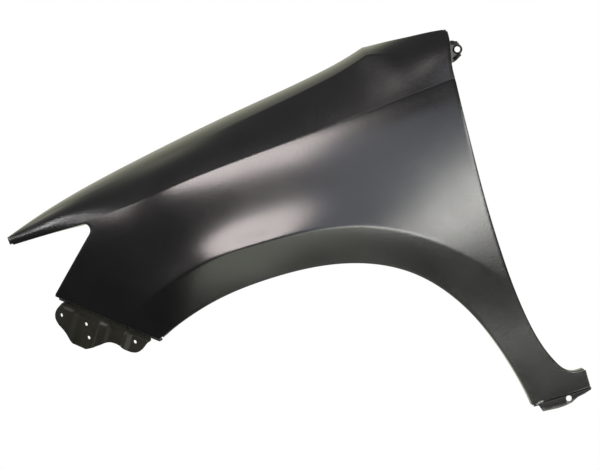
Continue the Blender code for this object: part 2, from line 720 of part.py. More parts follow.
def front_bumper_bracket(parts, cutters, finish):
    """A stamped plate behind the nose edge, with pads pressed in and ribs left between them."""
    runs = [row[0] for row in FRONT_LEVEL_SHARES]
    levels = [row[1] for row in FRONT_LEVEL_SHARES]
    seat = NOSE_STEP + SHEET + WELD_GAP
    clear = (NOSE_LIP + 2 * BEND_RADIUS + SHEET - FRONT_START) / FRONT_DROP
    drops = [0, clear, clear + FRONT_PAD / FRONT_DROP]
    drops += between(drops[-1], 1, FRONT_ROWS - 2)[1:]
    bm = bmesh.new()
    pad = front_spot(*FRONT_PAD_SHARES)
    pad_centre = under_side(*pad, seat + FRONT_PAD)
    pad_normal = side_inward(*pad)

    def place(column, row):
        """A point of the plate; the bumper's pad, pressed furthest in, is a true plane."""
        x, z = front_spot(runs[column], drops[row])
        pressed = levels[column] * FRONT_PAD if row > 1 else 0
        spot = under_side(x, z, seat - pressed)
        if pressed == -FRONT_PAD:
            spot -= pad_normal * (spot - pad_centre).dot(pad_normal)
        return spot

    made = bmesh.ops.create_grid(bm, x_segments=len(runs) - 1, y_segments=len(drops) - 1,
                                 size=0.5)
    for vert in made["verts"]:
        column = round((vert.co.x + 0.5) * (len(runs) - 1))
        row = round((vert.co.y + 0.5) * (len(drops) - 1))
        vert.co = place(column, row)
    face_outward(bm)
    bracket = new_object("front_bumper_bracket", mesh_of(bm, "front_bumper_bracket"), parts,
                         finish)
    thicken(bracket, FRONT_SHEET)

    places = [front_spot(*shares) for shares in FRONT_OUTLINE_SHARES]
    outline_mesh = upright_plate("front_outline", places, 0, PANEL_DEPTH)
    trimmer = new_object("front_trimmer", outline_mesh, cutters)
    as_cutter(trimmer)
    cut(bracket, trimmer, "INTERSECT")
    holes = []
    for shares in FRONT_HOLES_SHARES:
        x, z = front_spot(*shares)
        holes.append((under_side(x, z, seat), side_inward(x, z)))
    cut(bracket, add_punch("front_punch", holes, FRONT_HOLE_RADIUS, PUNCH_LENGTH, cutters))
    return bracket


def upright_plate(name, places, near, far):
    """A closed plate with a smooth outline in the side view, between two depths."""
    curve = bpy.data.curves.new(name, "CURVE")
    curve.dimensions = "2D"
    curve.fill_mode = "BOTH"
    curve.extrude = (far - near) / 2
    curve.resolution_u = OUTLINE_STEPS
    outline = curve.splines.new("BEZIER")
    outline.bezier_points.add(len(places) - 1)
    outline.use_cyclic_u = True
    for point, place in zip(outline.bezier_points, places):
        point.co = (place[0], place[1], 0)
        point.handle_left_type = "AUTO"
        point.handle_right_type = "AUTO"
    thing = bpy.data.objects.new(name, curve)
    bpy.context.scene.collection.objects.link(thing)
    bpy.context.view_layer.update()
    ready = thing.evaluated_get(bpy.context.evaluated_depsgraph_get())
    mesh = bpy.data.meshes.new_from_object(ready)
    bpy.data.objects.remove(thing)
    bm = bmesh.new()
    bm.from_mesh(mesh)
    bmesh.ops.remove_doubles(bm, verts=bm.verts, dist=MERGE)
    turn = Matrix.Rotation(math.pi / 2, 4, "X")
    bmesh.ops.transform(bm, matrix=Matrix.Translation((0, (near + far) / 2, 0)) @ turn,
                        verts=bm.verts)
    bm.to_mesh(mesh)
    bm.free()
    return mesh


def rear_upper_bracket(parts, cutters, finish, door_flange):
    """An angle bracket: a leg welded inside the door edge, and an ear with a bolt hole."""
    root, lip = (smooth([-spot.z for spot in row], [spot[:2] for spot in row])
                 for row in door_flange)
    hole_z = high(PILLAR_HOLE_SHARE)
    foot, head = hole_z - PILLAR_EAR_SIZE / 2, hole_z + PILLAR_EAR_SIZE / 2
    hole_x, edge_y = lip(-hole_z)
    hole_x += PILLAR_HOLE_BACK
    ear_y = edge_y + PILLAR_EAR_INBOARD

    def beside_flange(rise, reach, forward):
        """A point on the line that runs inboard along the flange, a reach past its lip."""
        end = lip(-rise)
        slope = (end - root(-rise)) / (end - root(-rise))[1]
        x, y = end + slope * reach
        return x - forward - SHEET - PILLAR_LEG_GAP, y

    bm = bmesh.new()
    bmesh.ops.create_cube(bm, size=1)
    for vert in bm.verts:
        rise = foot if vert.co.z < 0 else head
        reach = -PILLAR_LEG_LAP if vert.co.y < 0 else ear_y - lip(-rise)[1]
        vert.co = (*beside_flange(rise, reach, PILLAR_SHEET if vert.co.x < 0 else 0), rise)
    bracket = new_object("rear_upper_bracket", mesh_of(bm, "rear_upper_bracket"), parts,
                         finish)
    joint = [(beside_flange(rise, ear_y - lip(-rise)[1], PILLAR_SHEET / 2)[0], rise)
             for rise in (head, foot)]
    round_hole = [(hole_x + s[0] * PILLAR_EAR_SIZE, hole_z + s[1] * PILLAR_EAR_SIZE)
                  for s in PILLAR_EAR_SHARES]
    ear_mesh = upright_plate("pillar_ear", [joint[0], *round_hole, joint[1]],
                             ear_y - PILLAR_SHEET, ear_y)
    ear = new_object("pillar_ear", ear_mesh, cutters)
    as_cutter(ear)
    cut(bracket, ear, "UNION")
    hole = [(Vector((hole_x, ear_y, hole_z)), Vector((0, 1, 0)))]
    cut(bracket, add_punch("pillar_punch", hole, PILLAR_HOLE_RADIUS, CUT_OVERRUN, cutters))
    return bracket


def main():
    for thing in list(bpy.data.objects):
        bpy.data.objects.remove(thing)
    parts = bpy.data.collections.new("car_fender")
    cutters = bpy.data.collections.new("cutters")
    for collection in (parts, cutters):
        bpy.context.scene.collection.children.link(collection)
    primer = steel_finish("black_primer", (0.012, 0.012, 0.013), 0.35)
    bracket_primer = steel_finish("bracket_primer", (0.016, 0.015, 0.011), 0.5)
    frame = bpy.data.objects.new("bolt_face", None)
    bpy.context.scene.collection.objects.link(frame)
    frame.location = -datum
    door_flange = fender_panel(parts, cutters, primer)
    front_bumper_bracket(parts, cutters, bracket_primer)
    rear_upper_bracket(parts, cutters, bracket_primer, door_flange)
    for collection in (parts, cutters):
        for thing in collection.objects:
            thing.parent = frame


main()
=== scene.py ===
# %% [markdown]
# # A car's front fender in black dip primer
#
# The object is one big steel pressing, 0.8 mm thick, with a stamped bracket welded behind
# its front edge and a small angle bracket at its upper rear corner. Nothing on it is
# straight, so the panel is drawn the way a body designer draws one: a few curves first,
# then the surfaces that hang between them, then the edges that are turned over.
#
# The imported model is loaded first. It stays the master for every size.

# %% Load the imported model
import math

import bmesh
import bpy
import numpy as np
from mathutils import Matrix, Vector


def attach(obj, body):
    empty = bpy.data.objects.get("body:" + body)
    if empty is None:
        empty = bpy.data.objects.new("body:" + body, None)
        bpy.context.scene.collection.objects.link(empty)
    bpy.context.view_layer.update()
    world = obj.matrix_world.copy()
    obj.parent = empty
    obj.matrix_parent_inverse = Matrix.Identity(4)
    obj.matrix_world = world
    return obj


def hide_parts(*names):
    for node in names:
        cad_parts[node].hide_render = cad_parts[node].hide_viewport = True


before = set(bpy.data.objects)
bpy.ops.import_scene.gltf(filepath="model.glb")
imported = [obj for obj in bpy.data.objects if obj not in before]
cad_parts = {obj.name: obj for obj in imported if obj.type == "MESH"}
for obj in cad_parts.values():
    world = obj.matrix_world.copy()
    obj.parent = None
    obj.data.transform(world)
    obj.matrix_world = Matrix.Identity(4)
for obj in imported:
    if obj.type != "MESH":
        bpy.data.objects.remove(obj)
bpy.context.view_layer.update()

# %% [markdown]
# ## The curves
#
# Every curve is a short table of points, read through a natural cubic
# spline, which is what a thin strip of wood does when it is bent round pins. Drawing with
# few points keeps the curves fair, so highlights run along the panel without a wobble.
#
# Places are measured in millimetres from the wheel's axis: x rearward, y inboard, z up.

# %% A fair curve through a few points
MM = 0.001


def spline(knots, values):
    """A natural cubic curve through the values, read at any place along the knots."""
    knots = np.array(knots, float)
    values = np.array(values, float)
    spans = np.diff(knots)
    system = np.eye(len(knots))
    pull = np.zeros_like(values)
    for i in range(1, len(knots) - 1):
        system[i, i - 1] = spans[i - 1]
        system[i, i] = 2 * (spans[i - 1] + spans[i])
        system[i, i + 1] = spans[i]
        rise = (values[i + 1] - values[i]) / spans[i]
        pull[i] = 6 * (rise - (values[i] - values[i - 1]) / spans[i - 1])
    bend = np.linalg.solve(system, pull)

    def read(place):
        i = int(np.clip(np.searchsorted(knots, place) - 1, 0, len(spans) - 1))
        before = place - knots[i]
        after = knots[i + 1] - place
        curved = (bend[i] * after ** 3 + bend[i + 1] * before ** 3) / (6 * spans[i])
        left = (values[i] / spans[i] - bend[i] * spans[i] / 6) * after
        right = (values[i + 1] / spans[i] - bend[i + 1] * spans[i] / 6) * before
        return curved + left + right

    return read


def steps(start, end, count):
    """Evenly spaced places from start to end, both included."""
    return [start + (end - start) * i / count for i in range(count + 1)]


def ease(share):
    """A share from 0 to 1 with a soft start and a soft end."""
    share = min(max(share, 0), 1)
    return share * share * (3 - 2 * share)


# %% The size of the panel
LENGTH, HEIGHT, DEPTH = 868 * MM, 633 * MM, 237 * MM
TIP = -428 * MM
SHEET, BEND = 0.8 * MM, 2 * MM
ARCH, BAND = 335 * MM, 60 * MM


def along(share):
    return share * LENGTH + TIP


def table(rows):
    """A curve along the panel from rows of shares: length, then depth and height."""
    scale = (DEPTH, HEIGHT)[-(len(rows[0]) - 1):]
    return spline([along(row[0]) for row in rows],
                  [[share * size for share, size in zip(row[1:], scale)] for row in rows])


hood_rows = (
    (0.0000, 1.000, 0.7993), (0.0565, 0.920, 0.8240), (0.1745, 0.758, 0.8655),
    (0.3080, 0.633, 0.9003), (0.5000, 0.536, 0.9420), (0.6884, 0.496, 0.9782),
    (0.7327, 0.494, 0.9902), (0.7792, 0.490, 1.0074),
)
pillar_rows = (
    (0.7792, 0.490, 1.0071), (0.8329, 0.436, 1.0024), (0.8698, 0.392, 0.9976),
    (0.9078, 0.351, 0.9929), (0.9366, 0.329, 0.9874),
)
crease_rows = (
    (0.1671, 0.7828), (0.2707, 0.7914), (0.3779, 0.8088), (0.4931, 0.8215),
    (0.6659, 0.8365), (0.9194, 0.8618),
)
door_rows = (
    (0.9366, 0.9874), (0.9209, 0.8618), (0.9115, 0.7109), (0.9062, 0.5371),
    (0.9073, 0.4044), (0.9104, 0.3223), (0.9176, 0.2338), (0.9313, 0.1453),
    (0.9477, 0.0895), (0.9605, 0.0632), (0.9747, 0.0496), (1.0000, 0.0464),
)
hood = table(hood_rows)
pillar = table(pillar_rows)
crease_at = table(crease_rows)
hood_end = along(hood_rows[-1][0])
notch = np.array([along(crease_rows[0][0]), crease_rows[0][1] * HEIGHT])
nose_shares, tip_shares = (0.0688, 0.6153), (0.0020, 0.7790)
nose = np.array([along(nose_shares[0]), nose_shares[1] * HEIGHT])
tip_foot = np.array([along(tip_shares[0]), tip_shares[1] * HEIGHT])
door_points = np.array([(along(row[0]), row[1] * HEIGHT) for row in door_rows])
door_run = np.cumsum([0, *np.linalg.norm(np.diff(door_points, axis=0), axis=1)])
door = spline(door_run, door_points)
# The rows of the door table where the crease, the ridge and the foot begin.
AT_CREASE, AT_RIDGE, AT_FOOT = 1, 5, 8
crease_end = door_points[AT_CREASE][0]
print("crease", [round(float(crease_at(x)[0]) / MM) for x in steps(notch[0], crease_end, 4)])

# %% [markdown]
# ## The wheel arch
#
# The arch isn't a true circle: it is a little flat on top and wide in front and behind.
# Its radius is read from a table by angle. A second table gives the ridge where the
# flared band round the wheel begins.

# %% The arch's two curves
arch_rows = (
    (0, 1.021), (10, 1.0030), (21, 0.9995), (35, 1.0120), (52, 1.0255), (70, 1.002),
    (91, 0.977), (106, 0.992), (118, 1.016), (127, 1.041),
)
ridge_rows = (
    (39, 1.033), (52, 1.020), (66, 1.0076), (79, 0.985), (91, 0.9754), (104, 0.994),
    (118, 1.0127),
)
arch_radius = spline([math.radians(row[0]) for row in arch_rows],
                     [row[1] * ARCH for row in arch_rows])


def polar(radius, angle):
    return np.array([radius * math.cos(angle), radius * math.sin(angle)])


RIDGE_RISE = 0.330
arch_front = math.radians(arch_rows[-1][0])
arch_corner = polar(arch_radius(arch_front), arch_front)
toe, heel = polar(arch_radius(0), 0), np.array([along(1), 0])
ridge_start = arch_corner + (nose - arch_corner) * RIDGE_RISE
ridge_end = door_points[AT_RIDGE]
ridge_ends = [math.atan2(end[1], end[0]) for end in (ridge_end, ridge_start)]
ridge_radius = spline(
    [ridge_ends[0], *(math.radians(row[0]) for row in ridge_rows), ridge_ends[1]],
    [np.linalg.norm(ridge_end), *(row[1] * (ARCH + BAND) for row in ridge_rows),
     np.linalg.norm(ridge_start)])
print("arch corner", (arch_corner / MM).round(), "ridge start", (ridge_start / MM).round())

# %% [markdown]
# ## The side's depth
#
# Seen from outside, the side is nearly flat, and yet its depth is what draws every
# highlight. It is built from four terms: the panel's plan shape, a gentle belly from top
# to bottom, a soft shelf under the shoulder crease, and the flare that pushes the metal
# out towards the wheel arch and stops at a ridge, rounded over 3 mm.

# %% The depth of the side at any place
plan_rows = (
    (0.0092, 0.938), (0.0933, 0.693), (0.1889, 0.444), (0.2846, 0.248), (0.3929, 0.126),
    (0.4885, 0.0945), (0.6682, 0.088), (0.9067, 0.158),
)
shelf_rows = ((0.17, 0.078), (0.50, 0.172), (0.90, 0.314))
flare_rows = (
    (8, 0.00), (20, 0.00), (30, 0.12), (42, 0.36), (58, 0.65), (76, 0.87), (94, 1.00),
    (112, 0.64), (127, 0.27),
)
reach_rows = ((35, 80), (80, 24), (122, 25.5))
swell_rows = ((35, 0.00), (80, 0.71), (122, 0.48))
plan = spline([along(row[0]) for row in plan_rows], [row[1] * DEPTH for row in plan_rows])
shelf_slope = spline([along(row[0]) for row in shelf_rows], [row[1] for row in shelf_rows])
LEAN, BELLY, BELLY_REACH, SHELF_REACH = -0.050, 0.304, 94 * MM, 48 * MM
FLARE, TUCK, BOW, RIDGE_ROUND = 22.6 * MM, 0.30, 6.1 * MM, 3 * MM
flare_at = spline([math.radians(row[0]) for row in flare_rows],
                  [row[1] * FLARE for row in flare_rows])
flare_reach = spline([math.radians(row[0]) for row in reach_rows],
                     [row[1] * MM for row in reach_rows])
flare_swell = spline([math.radians(row[0]) for row in swell_rows], [row[1] for row in swell_rows])


def flare(x, z):
    """How far the arch pushes the side outboard at a place."""
    angle = math.atan2(z, x)
    beyond = math.hypot(x, z) - float(ridge_radius(angle))
    push = max(float(flare_at(angle)), 0)
    reach, swell = float(flare_reach(angle)), max(float(flare_swell(angle)), 0)
    kink = push * ((1 - swell) / reach + TUCK / BAND)
    rounding = kink * max(RIDGE_ROUND - abs(beyond), 0) ** 2 / (4 * RIDGE_ROUND)
    if beyond > 0:
        return push * (1 + swell * beyond / reach) * math.exp(-beyond / reach) - rounding
    inner = beyond / BAND
    return push * (1 + TUCK * inner) - BOW * inner * inner * push / FLARE - rounding


def side(x, z):
    """Depth of the panel's side, below its shoulder crease."""
    below = float(crease_at(x)[0]) - z
    belly = BELLY * BELLY_REACH * (1 - math.exp(-below / BELLY_REACH))
    shelf = float(shelf_slope(x)) * SHELF_REACH * (1 - math.exp(-below / SHELF_REACH))
    return float(plan(x)) - LEAN * below - belly - shelf - flare(x, z)


def on_side(x, z):
    return Vector((x, side(x, z), z))


def side_inward(x, z):
    """The side's normal at a place, on its inboard face."""
    slope_x = (side(x + SHEET, z) - side(x - SHEET, z)) / (2 * SHEET)
    slope_z = (side(x, z + SHEET) - side(x, z - SHEET)) / (2 * SHEET)
    return Vector((-slope_x, 1, -slope_z)).normalized()


def under_side(x, z, depth):
    return on_side(x, z) + side_inward(x, z) * depth


print("side depth over the wheel", round(side(0, ARCH + BAND) / MM, 1), "mm")

# %% [markdown]
# ## The skin
#
# Three grids make the outer skin: the roll that rises from the shoulder crease to the
# hood, the side, and the band round the wheel. Each starts as a flat grid, and its
# points are moved to their places. Flat patches with four curved edges are filled with a
# Coons patch, which blends the edges into each other and never folds.
#
# The roll isn't one arc. Beside the hood lies a flatter strip, bounded by a soft line that
# fades out before the windscreen, so its section is made of two arcs that meet at a slight
# angle. The angle is rounded by taking the mean of three places round each point.

# %% How finely the skin is divided
ARM, ROOF, REAR = 24, 96, 24
NOSE, POST, FOOT = 21, 21, 24
LAMP_ROWS, FILLET_ROWS = 24, 12
NEAR_EDGE = 0.03
roof_shares = [0, 0.012, NEAR_EDGE] + steps(0.06, 0.56, 13) + steps(0.575, 0.625, 10)
roof_shares += steps(0.65, 1, 9)
band_shares = steps(0, 0.92, 14) + [0.955, 0.98, 1]
print("roll", len(roof_shares), "rows, band", len(band_shares), "rows")


# %% Lay a grid on the panel
def add_patch(bm, columns, rows, place):
    """A grid whose points are moved onto the panel by their column and row."""
    made = bmesh.ops.create_grid(bm, x_segments=columns, y_segments=rows, size=0.5)
    for vert in made["verts"]:
        column = round((vert.co.x + 0.5) * columns)
        row = round((vert.co.y + 0.5) * rows)
        vert.co = place(column, row)


def coons(bottom, top, left, right, across, upward):
    """A flat patch filled from four edge lists that share their corners."""
    patch = {}
    for i, s in enumerate(across):
        for j, t in enumerate(upward):
            ruled = (1 - t) * bottom[i] + t * top[i] + (1 - s) * left[j] + s * right[j]
            lower = (1 - s) * bottom[0] + s * bottom[-1]
            upper = (1 - s) * top[0] + s * top[-1]
            patch[i, j] = ruled - (1 - t) * lower - t * upper
    return patch


# %% The roll between the crease and the hood
shoulder_tilt = spline([along(s) for s in (0.00, 0.09, 0.167, 0.26, 0.50, 0.75, 0.919)],
                       [math.radians(a) for a in (6, 4, 22, 33, 34, 28, 15)])
top_tilt = spline([along(s) for s in (0.00, 0.168, 0.50, 0.779, 0.855, 0.937)],
                  [math.radians(a) for a in (62, 76, 80, 78, 60, 44)])
HANDLE = 0.38
LINE_ROW, LINE_ACROSS, LINE_BACK = 0.6, 0.45, 0.4
LINE_ROUND, LINE_FADE = 0.012, 60 * MM
STRIP_LOW, STRIP_HIGH = math.radians(62), math.radians(76)


def arc(start, end, rising, falling, t):
    """A smooth section between two places, with a tilt from upright at each."""
    reach = (end - start).length * HANDLE
    first = start + Vector((0, math.sin(rising), math.cos(rising))) * reach
    second = end - Vector((0, math.sin(falling), math.cos(falling))) * reach
    return ((1 - t) ** 3 * start + 3 * t * (1 - t) ** 2 * first
            + 3 * t * t * (1 - t) * second + t ** 3 * end)


def lined_arc(start, end, rising, t):
    """The same section with a flatter strip beside the hood and a soft line below it."""
    across = (end.y - start.y) * LINE_ACROSS
    drop = across / math.tan((STRIP_LOW + STRIP_HIGH) / 2)
    line = end + Vector(((start.x - end.x) * LINE_BACK, -across, -drop))
    if t > LINE_ROW:
        return arc(line, end, STRIP_LOW, STRIP_HIGH, (t - LINE_ROW) / (1 - LINE_ROW))
    average = math.atan2(line.y - start.y, line.z - start.z)
    return arc(start, line, rising, 2 * average - rising, t / LINE_ROW)


def roof_patch(bm, crease):
    lower = steps(tip_foot, crease[0], ARM) + crease[1:]
    upper = steps(along(0), notch[0], ARM)
    upper += steps(notch[0], hood_end, ROOF)[1:]
    upper += steps(hood_end, door_points[0][0], REAR)[1:]

    def place(column, row):
        x, z = lower[column]
        over = upper[column]
        start = on_side(x, z)
        end = Vector((over, *(hood(over) if over <= hood_end else pillar(over))))
        rising, falling = float(shoulder_tilt(x)), float(top_tilt(over))
        lined = 1 - ease((over - hood_end) / LINE_FADE)
        t = roof_shares[row]
        spread = LINE_ROUND if NEAR_EDGE < t < 1 - NEAR_EDGE else 0
        three = [lined_arc(start, end, rising, t + shift) for shift in (-spread, 0, spread)]
        soft = sum(three, Vector()) / len(three)
        return arc(start, end, rising, falling, t).lerp(soft, lined)

    add_patch(bm, len(lower) - 1, len(roof_shares) - 1, place)


# %% The side and the band round the wheel
FILLET, FILLET_START = 12.5 * MM, 0.81


def lamp_fillet():
    """Centre of the rounded inner corner of the lamp notch, and where its edge meets it."""
    centre = notch - (0, FILLET)
    reach = centre - nose
    heading = math.atan2(reach[1], reach[0]) - math.asin(FILLET / np.linalg.norm(reach))
    return centre, heading - math.pi / 2


def side_patch(bm, crease, ridge):
    centre, angle = lamp_fillet()
    straight = [0, 0.01, 0.025] + steps(0.05, 1, LAMP_ROWS)
    edge_end = centre + polar(FILLET, angle)
    left = [nose + (edge_end - nose) * share for share in straight]
    left += [centre + polar(FILLET, turn) for turn in steps(angle, math.pi / 2, FILLET_ROWS)][1:]
    upward = [FILLET_START * share for share in straight]
    upward += steps(FILLET_START, 1, FILLET_ROWS)[1:]
    low, top = door_run[AT_RIDGE], door_run[AT_CREASE]
    right = [door(low + (top - low) * share) for share in upward]
    bottom = steps(nose, ridge_start, NOSE) + ridge[1:]
    columns = len(crease) - 1
    patch = coons(bottom, crease, left, right, steps(0, 1, columns), upward)
    add_patch(bm, columns, len(upward) - 1, lambda i, j: on_side(*patch[i, j]))


def band_patch(bm, ridge):
    angles = steps(arch_front, ridge_ends[0], len(ridge) - 1)
    angles += steps(ridge_ends[0], 0, POST)[1:]
    inner = [polar(arch_radius(angle), angle) for angle in angles]
    inner += steps(toe, heel, FOOT)[1:]
    outer = list(ridge)
    outer += [door(run) for run in steps(door_run[AT_RIDGE], door_run[AT_FOOT], POST)][1:]
    outer += [door(run) for run in steps(door_run[AT_FOOT], door_run[-1], FOOT)][1:]
    left = [arch_corner + (ridge_start - arch_corner) * share for share in band_shares]
    right = [heel + (door_points[-1] - heel) * share for share in band_shares]
    columns = len(inner) - 1
    patch = coons(inner, outer, left, right, steps(0, 1, columns), band_shares)
    add_patch(bm, columns, len(band_shares) - 1, lambda i, j: on_side(*patch[i, j]))


# %% Join the three grids
WELD = 0.02 * MM


def panel_skin():
    bm = bmesh.new()
    stations = steps(notch[0], hood_end, ROOF)
    stations += steps(hood_end, crease_end, REAR)[1:]
    crease = [np.array([x, float(crease_at(x)[0])]) for x in stations]
    ridge = [polar(ridge_radius(angle), angle)
             for angle in steps(ridge_ends[1], ridge_ends[0], ROOF + REAR - NOSE)]
    roof_patch(bm, crease)
    side_patch(bm, crease, ridge)
    band_patch(bm, ridge)
    bmesh.ops.remove_doubles(bm, verts=bm.verts, dist=WELD)
    bm.normal_update()
    return bm


panel_bm = panel_skin()
print("skin", len(panel_bm.verts), "points", len(panel_bm.faces), "faces")

# %% [markdown]
# ## Turned edges
#
# A bare sheet edge is sharp and floppy, so the press folds every edge over. Each fold is
# made here in the same order: the rim is extruded row by row, first round a 2 mm bend and
# then straight down into the flange. Solidify alone couldn't do this, because it only
# thickens what is there. Edges that a bracket or the bumper covers are stepped instead:
# down, then on beside the panel.

# %% How wide each fold is
TIP_HEM, PILLAR_FLANGE, DOOR_FLANGE, ARCH_FLANGE = 6 * MM, 13 * MM, 14 * MM, 17 * MM
NOTCH_FLANGE, ARM_FLANGE = 11 * MM, 8 * MM
NOSE_STEP, NOSE_LIP = 10 * MM, 6 * MM
FOOT_STEP, TAB_LENGTH = 8 * MM, 14.5 * MM
print("arch flange", round(ARCH_FLANGE / MM), "mm, door flange", round(DOOR_FLANGE / MM), "mm")


# %% Walk the rim and find which way is out
def rim_of(bm):
    start = next(edge for edge in bm.edges if edge.is_boundary)
    rim = [start.verts[0], start.verts[1]]
    while rim[-1] is not rim[0]:
        here = rim[-1]
        step = next(edge for edge in here.link_edges
                    if edge.is_boundary and edge.other_vert(here) is not rim[-2])
        rim.append(step.other_vert(here))
    return rim[:-1]


def stretch(rim, start, end, through):
    """The part of the rim between two corners that passes nearest a third place."""
    def nearest(target):
        return min(range(len(rim)), key=lambda i: (rim[i].co - target).length)

    first, last = nearest(start), nearest(end)
    count = len(rim)
    forward = [rim[(first + i) % count] for i in range((last - first) % count + 1)]
    backward = [rim[(first - i) % count] for i in range((first - last) % count + 1)]
    return min(forward, backward, key=lambda run: min((v.co - through).length for v in run))


def outward_of(chain, normals):
    found = []
    for i, vert in enumerate(chain):
        before = chain[max(i - 1, 0)]
        after = chain[min(i + 1, len(chain) - 1)]
        away = (after.co - before.co).cross(normals[vert]).normalized()
        face = next(face for edge in vert.link_edges if edge.is_boundary
                    for face in edge.link_faces)
        if away.dot(face.calc_center_median() - vert.co) > 0:
            away.negate()
        found.append(away)
    return found


# %% Extrude a fold row by row
def pull_rows(bm, chain, rows):
    for places in rows:
        edges = [bm.edges.get(pair) for pair in zip(chain, chain[1:])]
        made = bmesh.ops.extrude_edge_only(bm, edges=edges)["geom"]
        fresh = {item for item in made if isinstance(item, bmesh.types.BMVert)}
        chain = [next(edge.other_vert(vert) for edge in vert.link_edges
                      if edge.other_vert(vert) in fresh) for vert in chain]
        for vert, place in zip(chain, places):
            vert.co = place


def fold(bm, chain, normals, depths, bends=4):
    """A flange bent square to the panel. Gives the rows where it starts and ends."""
    outward = outward_of(chain, normals)
    rows = []
    for angle in steps(0, math.pi / 2, bends)[1:]:
        out, down = BEND * math.sin(angle), BEND * (1 - math.cos(angle))
        rows.append([v.co + o * out - normals[v] * down for v, o in zip(chain, outward)])
    rows.append([v.co + o * BEND - normals[v] * depth
                 for v, o, depth in zip(chain, outward, depths)])
    pull_rows(bm, chain, rows)
    return rows[-2:]


def step_down(bm, chain, normals, step, lips, place):
    """A flange that steps inboard and then runs on beside the panel."""
    outward = outward_of(chain, normals)
    rows = []
    for out, depth in ((0.6, 0.15), (0.95, 0.5), (1, 1)):
        rows.append([place(v.co + o * BEND * out, BEND * depth) for v, o in zip(chain, outward)])
    for out, depth in ((1, step - BEND), (1.15, step - 0.5 * BEND), (1.5, step - 0.2 * BEND),
                       (2, step)):
        rows.append([place(v.co + o * BEND * out, depth) for v, o in zip(chain, outward)])
    rows.append([place(v.co + o * (2 * BEND + lip), step)
                 for v, o, lip in zip(chain, outward, lips)])
    pull_rows(bm, chain, rows)


# %% [markdown]
# ## The ledge under the hood
#
# Inside the hood's edge the sheet drops 30 mm in a wall and turns into a flat ledge with
# three bolt ears. The whole fender hangs on this ledge, so it is a true plane, and the
# part's origin lies on it.

# %% The gutter wall and the ledge
LEDGE_DROP, LEDGE_DRAFT, LEDGE_WIDTH = 30 * MM, 3 * MM, 17 * MM
EAR_WIDTH, EAR_REACH, EAR_SHARES = 9 * MM, 30 * MM, (0.16, 0.52, 0.90)
LEDGE_START, DATUM_REACH = 0.20, 13 * MM
ledge_ends = (along(LEDGE_START), hood_end)
ledge_heights = [float(hood(x)[1]) - LEDGE_DROP for x in ledge_ends]
ears = [ledge_ends[0] + (ledge_ends[1] - ledge_ends[0]) * share for share in EAR_SHARES]


def ledge_height(x):
    share = (x - ledge_ends[0]) / (ledge_ends[1] - ledge_ends[0])
    return ledge_heights[0] + (ledge_heights[1] - ledge_heights[0]) * share


def ledge_place(x, reach):
    across = float(hood(x)[0]) + BEND + LEDGE_DRAFT + reach
    return Vector((x, across, ledge_height(x)))


def ledge_reach(x):
    nearest = min(abs(x - ear) for ear in ears)
    return LEDGE_WIDTH + EAR_WIDTH * ease(2 - 2 * nearest / EAR_REACH)


def hood_gutter(bm, chain):
    rows = []
    wall = BEND + LEDGE_DRAFT
    for inward, rise in ((0.5, 0), (0.85, -0.15), (1, -0.5)):
        rows.append([v.co + Vector((0, BEND * inward, BEND * rise)) for v in chain])
    for inward, rise in ((0, 1), (0.15, 0.5), (0.5, 0.15), (1, 0)):
        rows.append([Vector((v.co.x, v.co.y + wall + BEND * inward,
                             ledge_height(v.co.x) + BEND * rise)) for v in chain])
    for share in (0.5, 1):
        rows.append([Vector((v.co.x, v.co.y + wall + ledge_reach(v.co.x) * share,
                             ledge_height(v.co.x))) for v in chain])
    pull_rows(bm, chain, rows)


datum = ledge_place(ears[1] + LEDGE_WIDTH, DATUM_REACH)
print("the part's origin lies at", [round(c / MM, 2) for c in datum], "mm")

# %% [markdown]
# ## Fold every edge of the skin
#
# The corners are found by their places, and the stretch of rim between two corners gets
# its fold. The foot ends in a stepped tab for the sill bolt, whose depth is a short list
# read from left to right.

# %% Fold the panel's edges
rim = rim_of(panel_bm)
normals = {vert: vert.normal.copy() for vert in rim}
tip_end, notch_end = on_side(*tip_foot), on_side(*notch)
hood_tip = Vector((along(0), *hood(along(0))))
hood_corner = Vector((hood_end, *hood(hood_end)))
door_top = Vector((door_points[0][0], *pillar(door_points[0][0])))
foot_top, heel_end, toe_end = on_side(*door_points[-1]), on_side(*heel), on_side(*toe)
arch_end, nose_end = on_side(*arch_corner), on_side(*nose)

hood_edge = stretch(rim, hood_tip, hood_corner, (hood_corner + hood_tip) / 2)
hem = [v for v in hood_edge if v.co.x <= ledge_ends[0]][2:]
gutter = [v for v in hood_edge if v.co.x >= ledge_ends[0]][:-1]
fold(panel_bm, hem, normals, steps(TIP_HEM, LEDGE_DROP, len(hem) - 1))
hood_gutter(panel_bm, gutter)
pillar_edge = stretch(rim, hood_corner, door_top, (hood_corner + door_top) / 2)[1:-1]
fold(panel_bm, pillar_edge, normals, [PILLAR_FLANGE] * len(pillar_edge))
door_edge = stretch(rim, door_top, foot_top, on_side(*ridge_end))[1:-1]
door_fold = fold(panel_bm, door_edge, normals, [DOOR_FLANGE] * len(door_edge))
arch_edge = stretch(rim, arch_end, toe_end, on_side(0, float(arch_radius(math.pi / 2))))[1:]
fold(panel_bm, arch_edge, normals, [ARCH_FLANGE] * len(arch_edge))
lamp_edge = stretch(rim, nose_end, tip_end, notch_end)[1:-1]
fold(panel_bm, lamp_edge, normals, steps(NOTCH_FLANGE, ARM_FLANGE, len(lamp_edge) - 1))
nose_edge = stretch(rim, arch_end, nose_end, on_side(*ridge_start))
nose_lips = [BEND] + [NOSE_LIP] * (len(nose_edge) - 1)
step_down(panel_bm, nose_edge, normals, NOSE_STEP, nose_lips,
          lambda spot, depth: under_side(spot.x, spot.z, depth))
foot_edge = stretch(rim, toe_end, heel_end, (toe_end + heel_end) / 2)
tab_places = (0, 0.085, 0.125, 0.25, 0.375, 0.5, 0.625, 0.75, 0.875, 1)
